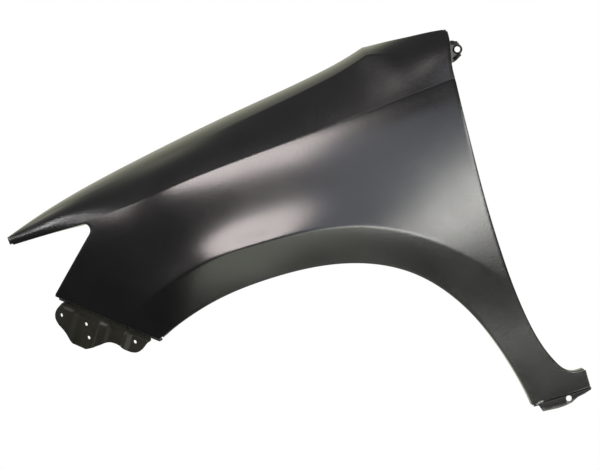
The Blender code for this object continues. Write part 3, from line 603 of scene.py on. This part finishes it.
tab_shares = (0.04, 0.06, 0.85, 0.93, 1.0, 0.98, 0.85, 0.45, 0.30, 0.06)
tab_lips = np.interp(steps(0, 1, len(foot_edge) - 1), tab_places, tab_shares) * TAB_LENGTH
step_down(panel_bm, foot_edge, normals, FOOT_STEP, tab_lips,
          lambda spot, depth: Vector((spot.x, toe_end.y + depth, spot.z)))
bmesh.ops.recalc_face_normals(panel_bm, faces=panel_bm.faces)
if sum(face.normal.y * face.calc_area() for face in panel_bm.faces) > 0:
    bmesh.ops.reverse_faces(panel_bm, faces=panel_bm.faces)
print("with its folds", len(panel_bm.faces), "faces")

# %% [markdown]
# ## From a surface to a sheet
#
# Solidify gives the surface its 0.8 mm, inward, so the outer face stays where it was
# drawn. The punched holes are cut after that, and the result is frozen into a plain mesh
# whose place is in its points.

# %% Helpers that make, cut and freeze an object
SHARP = math.radians(38)
shown = bpy.context.scene.collection


def to_object(name, bm):
    mesh = bpy.data.meshes.new(name)
    bmesh.ops.translate(bm, verts=bm.verts, vec=-datum)
    bm.to_mesh(mesh)
    bm.free()
    thing = bpy.data.objects.new(name, mesh)
    shown.objects.link(thing)
    return thing


def sheet_of(thing, thickness):
    solid = thing.modifiers.new("sheet", "SOLIDIFY")
    solid.thickness = thickness
    solid.offset = -1
    solid.use_even_offset = True
    solid.use_quality_normals = True


def combine(thing, tool, operation):
    cut = thing.modifiers.new(tool.name, "BOOLEAN")
    cut.operation = operation
    cut.solver = "EXACT"
    cut.object = tool


def freeze(thing, tools):
    """Applies the modifiers, removes the tools and splits the shading at sharp edges."""
    bpy.context.view_layer.update()
    ready = thing.evaluated_get(bpy.context.evaluated_depsgraph_get())
    mesh = bpy.data.meshes.new_from_object(ready)
    thing.modifiers.clear()
    thing.data = mesh
    for tool in tools:
        bpy.data.objects.remove(tool)
    bm = bmesh.new()
    bm.from_mesh(mesh)
    for face in bm.faces:
        face.smooth = True
    for edge in bm.edges:
        edge.smooth = edge.calc_face_angle(math.pi) < SHARP
    bm.to_mesh(mesh)
    bm.free()


def punch(name, places, radius, length):
    """Round punches, one for each centre and axis, as one tool."""
    bm = bmesh.new()
    for centre, axis in places:
        turn = Vector((0, 0, 1)).rotation_difference(axis).to_matrix().to_4x4()
        bmesh.ops.create_cone(bm, cap_ends=True, segments=48, radius1=radius, radius2=radius,
                              depth=length, matrix=Matrix.Translation(centre) @ turn)
    return to_object(name, bm)


# %% Give the panel its thickness and punch its holes
BOLT_HOLE, CLIP_HOLE, SILL_HOLE = 4.5 * MM, 3.5 * MM, 4.6 * MM
SILL_PLACE, SILL_DROP = 0.6, 8 * MM
CLIP_ANGLES = (118, 97, 76, 55, 36)
STROKE = 6 * MM
panel = to_object("fender_skin", panel_bm)
sheet_of(panel, SHEET)
bolts = [(ledge_place(x, LEDGE_WIDTH), Vector((0, 0, 1))) for x in ears]
clips = []
for angle in [math.radians(a) for a in CLIP_ANGLES]:
    spot = polar(arch_radius(angle) - BEND, angle)
    clips.append((Vector((spot[0], side(*spot) + (ARCH_FLANGE + BEND) / 2, spot[1])),
                  Vector((math.cos(angle), 0, math.sin(angle)))))
sill_x = toe[0] + (heel[0] - toe[0]) * SILL_PLACE
sill = [(Vector((sill_x, toe_end.y + FOOT_STEP, -SILL_DROP)), Vector((0, 1, 0)))]
tools = [punch("bolt_holes", bolts, BOLT_HOLE, STROKE),
         punch("clip_holes", clips, CLIP_HOLE, STROKE),
         punch("sill_hole", sill, SILL_HOLE, STROKE)]
for tool in tools:
    combine(panel, tool, "DIFFERENCE")
freeze(panel, tools)
print("panel", len(panel.data.polygons), "faces")

# %% [markdown]
# ## The stamped bracket at the front
#
# It is a plate that follows the panel's underside, with pads pressed in where the
# bumper bolts on and narrow ribs left standing between them, which stiffen it. A grid
# gives the presswork, and a smooth outline then cuts it to shape, as a blanking tool does.

# %% Press the front bracket
FRONT_LENGTH, FRONT_DROP, FRONT_START = 186 * MM, 72 * MM, 5 * MM
FRONT_PAD, FRONT_SHEET, FRONT_HOLE = 4 * MM, 1.2 * MM, 3.1 * MM
FRONT_GAP = 0.3 * MM
PAD_START, PAD_RAMP = 0.14, 0.09
nose_line = (arch_corner - nose) / np.linalg.norm(arch_corner - nose)
nose_away = np.array([-abs(nose_line[1]), -abs(nose_line[0])])
level_rows = (
    (0.00, 0.0), (0.12, 0.4), (0.16, 0.4), (0.25, -1.0), (0.42, -1.0), (0.455, 0.6),
    (0.51, 0.6), (0.57, -0.4), (0.68, -0.4), (0.70, 0.5), (0.72, 0.5), (0.77, -0.8),
    (0.94, -0.8), (1.00, 0.0),
)
seat = NOSE_STEP + SHEET + FRONT_GAP
RUNS, DROPS = 120, 40


def front_spot(run, drop):
    """A place on the bracket: back along the nose edge, and away from it."""
    return nose + nose_line * run * FRONT_LENGTH + nose_away * (FRONT_START + drop * FRONT_DROP)


def pressed(run, drop):
    """How far the plate stands out at a place, with rounded shoulders."""
    level = 0
    for (start, low), (end, high) in zip(level_rows, level_rows[1:]):
        if start <= run <= end:
            level = low + (high - low) * ease((run - start) / (end - start))
    return level * FRONT_PAD * ease((drop - PAD_START) / PAD_RAMP)


def bracket_place(column, row):
    run, drop = column / RUNS, row / DROPS
    x, z = front_spot(run, drop)
    return under_side(x, z, seat - pressed(run, drop))


front_bm = bmesh.new()
add_patch(front_bm, RUNS, DROPS, bracket_place)
bmesh.ops.recalc_face_normals(front_bm, faces=front_bm.faces)
if sum(face.normal.y * face.calc_area() for face in front_bm.faces) > 0:
    bmesh.ops.reverse_faces(front_bm, faces=front_bm.faces)
print("bracket grid", len(front_bm.faces), "faces")


# %% Blank the outline and drill the holes
def upright_plate(name, places, near, far):
    """A closed plate with a smooth outline in the side view, between two depths."""
    curve = bpy.data.curves.new(name, "CURVE")
    curve.dimensions = "2D"
    curve.fill_mode = "BOTH"
    curve.extrude = (far - near) / 2
    curve.resolution_u = 8
    outline = curve.splines.new("BEZIER")
    outline.bezier_points.add(len(places) - 1)
    outline.use_cyclic_u = True
    for point, place in zip(outline.bezier_points, places):
        point.co = (place[0], place[1], 0)
        point.handle_left_type = "AUTO"
        point.handle_right_type = "AUTO"
    thing = bpy.data.objects.new(name, curve)
    shown.objects.link(thing)
    bpy.context.view_layer.update()
    ready = thing.evaluated_get(bpy.context.evaluated_depsgraph_get())
    mesh = bpy.data.meshes.new_from_object(ready)
    bpy.data.objects.remove(thing)
    bm = bmesh.new()
    bm.from_mesh(mesh)
    bmesh.ops.remove_doubles(bm, verts=bm.verts, dist=WELD)
    turn = Matrix.Translation((0, (near + far) / 2, 0)) @ Matrix.Rotation(math.pi / 2, 4, "X")
    bmesh.ops.transform(bm, matrix=turn, verts=bm.verts)
    return bm


front_outline = (
    (0.095, 0.02), (0.056, 0.17), (0.038, 0.32), (0.043, 0.44), (0.068, 0.54),
    (0.183, 0.72), (0.282, 0.93), (0.350, 0.96), (0.420, 0.91), (0.520, 0.69),
    (0.602, 0.52), (0.656, 0.485), (0.715, 0.495), (0.780, 0.535), (0.857, 0.51),
    (0.891, 0.45), (0.917, 0.35), (0.940, 0.19), (0.962, 0.02),
)
hole_shares = ((0.074, 0.40), (0.31, 0.40), (0.37, 0.69), (0.80, 0.33))
front_holes = [front_spot(*share) for share in hole_shares]
front_punch = 20 * MM
front = to_object("bumper_bracket", front_bm)
sheet_of(front, FRONT_SHEET)
blank = upright_plate("bracket_blank", [front_spot(*share) for share in front_outline],
                      0, DEPTH)
tools = [to_object("bracket_blank", blank),
         punch("bracket_holes", [(under_side(*s, seat), side_inward(*s)) for s in front_holes],
               FRONT_HOLE, front_punch)]
combine(front, tools[0], "INTERSECT")
combine(front, tools[1], "DIFFERENCE")
freeze(front, tools)
print("front bracket", len(front.data.polygons), "faces")

# %% [markdown]
# ## The angle bracket at the upper rear corner
#
# A leg is welded inside the door flange and an ear turns rearward from it, with one hole
# for the bolt into the windscreen pillar. The hole sits in a raised boss, and two short
# lips above and below keep the thin ear from bending. Each is a small solid of its own
# first, and a union makes them one piece, as pressing and welding do.

# %% Fold the rear bracket
EAR, EAR_SHEET, EAR_HOLE = 32 * MM, 1.5 * MM, 4.8 * MM
EAR_BACK, EAR_INBOARD, REAR_GAP, LEG_LAP = 14.5 * MM, 30 * MM, 0.7 * MM, 5 * MM
EAR_RISE = 0.93
root, lip = (spline([-spot.z for spot in row], [spot[:2] for spot in row]) for row in door_fold)
hole_z = EAR_RISE * HEIGHT
foot_z, head_z = hole_z - EAR / 2, hole_z + EAR / 2
hole_x, edge_y = lip(-hole_z) + (EAR_BACK, 0)
ear_y = edge_y + EAR_INBOARD


def beside_flange(rise, reach, forward):
    """A place on the line that runs inboard along the flange, a reach past its lip."""
    end = lip(-rise)
    slope = (end - root(-rise)) / (end - root(-rise))[1]
    x, y = end + slope * reach
    return x - forward - SHEET - REAR_GAP, y


rear_bm = bmesh.new()
bmesh.ops.create_cube(rear_bm, size=1)
for vert in rear_bm.verts:
    rise = foot_z if vert.co.z < 0 else head_z
    reach = -LEG_LAP if vert.co.y < 0 else ear_y - lip(-rise)[1]
    vert.co = (*beside_flange(rise, reach, EAR_SHEET if vert.co.x < 0 else 0), rise)
rear = to_object("pillar_bracket", rear_bm)
joint = [(beside_flange(rise, ear_y - lip(-rise)[1], EAR_SHEET / 2)[0], rise)
         for rise in (head_z, foot_z)]
ear_shares = ((0.11, 0.36), (0.18, 0.23), (0.23, 0.02), (0.20, -0.15), (0.10, -0.28),
              (0.01, -0.41))
round_hole = [(hole_x + s[0] * EAR, hole_z + s[1] * EAR) for s in ear_shares]
ear_bm = upright_plate("pillar_ear", [joint[0], *round_hole, joint[1]],
                       ear_y - EAR_SHEET, ear_y)

# %% Raise the boss and the lips, and weld them on
LIP_WIDTH, LIP_SHEET, LIP_OUT, LIP_ROUND, LIP_FORWARD = 7 * MM, 2 * MM, 3 * MM, 0.5 * MM, 4 * MM
LIP_SLOPE = math.radians(48)
BOSS_TOP, BOSS_FOOT, BOSS_HEIGHT, BOSS_OUT = 5.6 * MM, 8.6 * MM, 3.2 * MM, 2.2 * MM


def ear_lip(name, up, length, tilt):
    """A small lip turned outboard from the ear, placed from its hole."""
    bm = bmesh.new()
    spot = Matrix.Translation((hole_x - LIP_FORWARD, ear_y - LIP_OUT, hole_z + up))
    turn = (Matrix.Rotation(math.radians(tilt), 4, "Y")
            @ Matrix.Rotation(LIP_SLOPE, 4, "X"))
    bmesh.ops.create_cube(bm, size=1, matrix=spot @ turn @ Matrix.Diagonal(
        (length, LIP_WIDTH, LIP_SHEET, 1)))
    bmesh.ops.bevel(bm, geom=bm.edges[:], offset=LIP_ROUND, segments=2, profile=0.5,
                    affect="EDGES", material=-1)
    return to_object(name, bm)


boss_place = Matrix.Translation((hole_x, ear_y - BOSS_OUT, hole_z))
boss_bm = bmesh.new()
bmesh.ops.create_cone(boss_bm, cap_ends=True, segments=48, radius1=BOSS_TOP,
                      radius2=BOSS_FOOT, depth=BOSS_HEIGHT,
                      matrix=boss_place @ Matrix.Rotation(-math.pi / 2, 4, "X"))
tools = [to_object("pillar_ear", ear_bm), to_object("pillar_boss", boss_bm),
         ear_lip("upper_lip", 12.2 * MM, 15 * MM, 17),
         ear_lip("lower_lip", -11.5 * MM, 14 * MM, -24),
         punch("pillar_hole", [(Vector((hole_x, ear_y, hole_z)), Vector((0, 1, 0)))],
               EAR_HOLE, 2 * STROKE)]
for tool in tools[:-1]:
    combine(rear, tool, "UNION")
combine(rear, tools[-1], "DIFFERENCE")
freeze(rear, tools)
print("rear bracket", len(rear.data.polygons), "faces")

# %% Put the pieces in the place of the plain ones
for piece, node, name in ((panel, "fender_panel", "panel_primer"),
                          (front, "front_bumper_bracket", "bracket_primer"),
                          (rear, "rear_upper_bracket", "bracket_primer")):
    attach(piece, "root")
    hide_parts(node)

# %% [markdown]
# ## The finish
#
# Bare service panels are dipped in a bath and coated by an electric current, so the
# primer is thin, even and black everywhere, inside too. It is an epoxy film about 20
# microns thick that is baked on. The eye reads it by its gloss, because so little light
# comes back from the black itself: soft satin highlights, a fine orange peel that breaks
# them up, and cloudy places where the film came out a little thicker.
#
# Each of those is one small noise. A noise node fed with object coordinates counts in
# metres, so its scale is one over the size of the spots.

# %% Colours and the node helper
def linear(code):
    """The linear colour of an sRGB hex code."""
    parts = [int(code[i:i + 2], 16) / 255 for i in (1, 3, 5)]
    return [p / 12.92 if p <= 0.04045 else ((p + 0.055) / 1.055) ** 2.4 for p in parts] + [1]


def add(tree, kind, settings=None, **links):
    """Adds a node, sets its options and inputs, and links the outputs given."""
    node = tree.nodes.new(kind)
    for name, value in (settings or {}).items():
        setattr(node, name, value)
    for name, value in links.items():
        key = int(name[1:]) if name[1:].isdigit() else name.replace("_", " ")
        socket = node.inputs[key]
        if isinstance(value, bpy.types.NodeSocket):
            tree.links.new(value, socket)
        else:
            socket.default_value = value
    return node


# %% Electro-dipped primer
CLOUD, EDGE_WEAR_AND_SHEEN_SPOT, PEEL = 90 * MM, 6 * MM, 3 * MM


def dip_primer(name, thick, thin, worn_and_edge_highlight, gloss, cloudy, peel):
    """Black epoxy primer: its colours where thick and thin, and on sharp edges, where the lighter
    colour is wear and also a painted highlight; then its roughness,
    how far clouds change that, and the height of its orange peel."""
    material = bpy.data.materials.new(name)
    material.use_nodes = True
    tree = material.node_tree
    place = add(tree, "ShaderNodeTexCoord").outputs["Object"]

    # The film is thicker and thinner in clouds as wide as a hand.
    noise = add(tree, "ShaderNodeTexNoise", Vector=place, Scale=1 / CLOUD, Detail=4)
    clouds = add(tree, "ShaderNodeMapRange", Value=noise.outputs["Fac"],
                 From_Min=0.35, From_Max=0.65, To_Min=0, To_Max=1).outputs["Result"]
    film = add(tree, "ShaderNodeMix", {"data_type": "RGBA"},
               _0=clouds, _6=linear(thick), _7=linear(thin)).outputs[2]

    # Current crowds at bare sheet edges and pulls the film thin, so racks rub it there.
    # The lighter colour on sharp edges is also a painted highlight.
    noise = add(tree, "ShaderNodeTexNoise", Vector=place, Scale=1 / EDGE_WEAR_AND_SHEEN_SPOT, Detail=2)
    uneven = add(tree, "ShaderNodeMapRange", Value=noise.outputs["Fac"],
                 From_Min=0.3, From_Max=0.7, To_Min=-0.03, To_Max=0.03).outputs["Result"]
    edge = add(tree, "ShaderNodeNewGeometry").outputs["Pointiness"]
    edge_wear_and_highlight_mask = add(tree, "ShaderNodeMath", {"operation": "ADD"}, _0=edge, _1=uneven)
    rubbed_and_edge_highlight = add(tree, "ShaderNodeMapRange", Value=edge_wear_and_highlight_mask.outputs[0],
                 From_Min=0.55, From_Max=0.62, To_Min=0, To_Max=1).outputs["Result"]
    colour = add(tree, "ShaderNodeMix", {"data_type": "RGBA"},
                 _0=rubbed_and_edge_highlight, _6=film, _7=linear(worn_and_edge_highlight)).outputs[2]

    # Real orange peel is about 1 mm wide. It is drawn 3 mm wide, or no pixel would show it.
    grain = add(tree, "ShaderNodeTexNoise", Vector=place, Scale=1 / PEEL,
                Detail=3).outputs["Fac"]
    bump = add(tree, "ShaderNodeBump", Height=grain, Strength=1.0, Distance=peel)

    # Thin film dries a little duller, grain scatters a little, and wear on the sharp edges
    # scatters most.
    rough = add(tree, "ShaderNodeMapRange", Value=clouds, From_Min=0, From_Max=1,
                To_Min=gloss - cloudy, To_Max=gloss + cloudy).outputs["Result"]
    for source, low, high, lift, most in ((grain, 0.3, 0.7, -0.02, 0.02),
                                          (rubbed_and_edge_highlight, 0, 1, 0, 0.15)):
        part = add(tree, "ShaderNodeMapRange", Value=source, From_Min=low, From_Max=high,
                   To_Min=lift, To_Max=most).outputs["Result"]
        rough = add(tree, "ShaderNodeMath", {"operation": "ADD"}, _0=rough,
                    _1=part).outputs[0]

    shader = tree.nodes["Principled BSDF"]
    shader.inputs["IOR"].default_value = 1.5
    tree.links.new(colour, shader.inputs["Base Color"])
    tree.links.new(rough, shader.inputs["Roughness"])
    tree.links.new(bump.outputs["Normal"], shader.inputs["Normal"])
    return material


# %% Dip the panel and the brackets
# The third colour of each primer is its sharp-edge colour: wear, and also a painted highlight.
# The panel is smooth cold-rolled sheet, so its film is the glossier one.
panel_primer = dip_primer("panel_dip_primer", "#09090a", "#0c0c0d", "#2b2a26",
                          gloss=0.235, cloudy=0.015, peel=0.10 * MM)
# The brackets are thicker hot-rolled steel: the primer dries duller and shows the scale.
bracket_primer = dip_primer("bracket_dip_primer", "#0f0f0a", "#15150f", "#33322b",
                            gloss=0.40, cloudy=0.05, peel=0.15 * MM)
for piece, primer in ((panel, panel_primer), (front, bracket_primer), (rear, bracket_primer)):
    piece.data.materials.clear()
    piece.data.materials.append(primer)
    print(piece.name, "is coated with", primer.name)

# %% [markdown]
# ## The camera
#
# It stands 2.7 m from the panel's side, 4 degrees above it, and is rolled by 17 degrees:
# the panel was photographed standing level and the picture was turned.

# %% Place the camera
CAMERA_AWAY, CAMERA_RISE, CAMERA_ROLL = 2.7, math.radians(4), math.radians(-17)
SENSOR, PICTURE_WIDTH, FOCUS = 36, 600, 1687.5
target = Vector((59, 0, 378)) * MM - datum
back = Vector((0, -math.cos(CAMERA_RISE), math.sin(CAMERA_RISE)))
camera = bpy.data.objects.new("camera", bpy.data.cameras.new("camera"))
shown.objects.link(camera)
camera.data.sensor_width = SENSOR
camera.data.lens = SENSOR * FOCUS / PICTURE_WIDTH
level = (-back).to_track_quat("-Z", "Y").to_matrix().to_4x4()
camera.matrix_world = (Matrix.Translation(target + back * CAMERA_AWAY) @ level
                       @ Matrix.Rotation(CAMERA_ROLL, 4, "Z"))
bpy.context.scene.camera = camera
print("lens", camera.data.lens, "mm")

# %% [markdown]
# ## The floor
#
# A plain pale disc lies nearly half a metre below the part's foot, which hangs free. It
# fills in the undersides with a weak upward light and takes the part's shadow. It is
# matt, so it throws back no picture of the lamps.

# %% A pale floor under the part
FLOOR_RADIUS, FLOOR_DROP = 1.15, 1.05
floor_bm = bmesh.new()
bmesh.ops.create_circle(floor_bm, cap_ends=True, segments=96, radius=FLOOR_RADIUS)
floor = to_object("floor", floor_bm)
floor.data.transform(Matrix.Translation(datum + Vector((0, 0, -FLOOR_DROP))))
matt_floor = bpy.data.materials.new("matt_floor")
matt_floor.use_nodes = True
paint = matt_floor.node_tree.nodes["Principled BSDF"]
paint.inputs["Base Color"].default_value = linear("#e6e6e6")
paint.inputs["Roughness"].default_value = 0.9
floor.data.materials.append(matt_floor)
print("floor", FLOOR_DROP, "m under the ledge")

# %% [markdown]
# ## The room
#
# A black gloss surface has almost no colour of its own: what the eye sees in it is the
# room. So the world is split in two. Behind the part hangs lit paper, which the edges
# catch where they turn away from the eye. It is a little brighter than white and a little
# yellow, as paper is under its own lamps. In front of it the room is dim and gets a
# little lighter towards its ceiling. The camera itself sees plain white behind the part.

# %% White paper behind, a dim room in front
world = bpy.data.worlds.new("studio")
bpy.context.scene.world = world
world.use_nodes = True
sky = world.node_tree
sky.nodes.clear()
rays = add(sky, "ShaderNodeLightPath")
where = add(sky, "ShaderNodeSeparateXYZ",
            Vector=add(sky, "ShaderNodeTexCoord").outputs["Generated"])
behind = add(sky, "ShaderNodeMapRange", {"interpolation_type": "SMOOTHSTEP"},
             Value=where.outputs["Y"], From_Min=0.3, From_Max=0.95, To_Min=0.0, To_Max=1.0)
above = add(sky, "ShaderNodeMapRange", Value=where.outputs["Z"], From_Min=0.0, From_Max=1.0,
            To_Min=0.055, To_Max=0.29)
room = add(sky, "ShaderNodeBackground", Color=(1, 1, 1, 1), Strength=above.outputs[0])
white = add(sky, "ShaderNodeBackground", Color=(1, 1, 1, 1), Strength=1.0)
paper = add(sky, "ShaderNodeBackground", Color=linear("#f7f8e0"), Strength=1.4)
around = add(sky, "ShaderNodeMixShader", _0=behind.outputs[0], _1=room.outputs[0],
             _2=paper.outputs[0])
seen = add(sky, "ShaderNodeMixShader", _0=rays.outputs["Is Camera Ray"],
           _1=around.outputs[0], _2=white.outputs[0])
add(sky, "ShaderNodeOutputWorld", Surface=seen.outputs[0])
print("the room has", len(sky.nodes), "nodes")

# %% [markdown]
# ## The lamps
#
# Each highlight on the panel is the picture of one soft box, stretched by the shape of
# the sheet. A lamp is therefore placed by the direction in which the panel mirrors the
# eye, and its size is given by the angle that it fills. The big box above on the left
# makes the highlight on the shoulder and the one over the arch, the tall dim wall
# in front makes the grey on the door side, and the narrow strips draw the rear glints.

# %% Lamps
LAMP_AWAY = 6


def softbox(name, colour, azimuth, elevation, wide, high, turn, radiance):
    """A soft light in a direction from the panel, sized by the angle that it fills."""
    azimuth, elevation = math.radians(azimuth), math.radians(elevation)
    heading = Vector((math.sin(azimuth) * math.cos(elevation),
                      -math.cos(azimuth) * math.cos(elevation), math.sin(elevation)))
    lamp = bpy.data.lights.new(name, "AREA")
    lamp.shape = "RECTANGLE"
    lamp.color = linear(colour)[:3]
    lamp.size = 2 * LAMP_AWAY * math.tan(math.radians(wide / 2))
    lamp.size_y = 2 * LAMP_AWAY * math.tan(math.radians(high / 2))
    lamp.energy = radiance * math.pi * lamp.size * lamp.size_y
    print(name, round(lamp.size, 2), "by", round(lamp.size_y, 2), "m")
    thing = bpy.data.objects.new(name, lamp)
    thing.matrix_world = (Matrix.Translation(target + heading * LAMP_AWAY)
                          @ heading.to_track_quat("Z", "Y").to_matrix().to_4x4()
                          @ Matrix.Rotation(math.radians(turn), 4, "Z"))
    shown.objects.link(thing)


# Azimuth, elevation, width, height and turn are in degrees, and radiance comes last.
softbox("key_box", "#fff5f3", -22, 44, 38, 20.5, -7, 15.5)
softbox("wall", "#eaf0ff", 11, 18, 19, 34, 7, 2.3)
softbox("upper_strip", "#fffffa", 34, 14.5, 7.5, 20, -45, 20)
softbox("lower_strip", "#fffffa", 17.7, -5, 11, 25, -66, 17)
softbox("low_card", "#f8fcea", -17, -14, 40, 40, 56, 2.4)
softbox("far_left", "#fff5f3", -73, 30, 14, 8, 78, 10)
softbox("tip_strip", "#ffffff", -93, 29, 2.5, 16, 0, 30)
bpy.context.scene.view_settings.view_transform = "Standard"
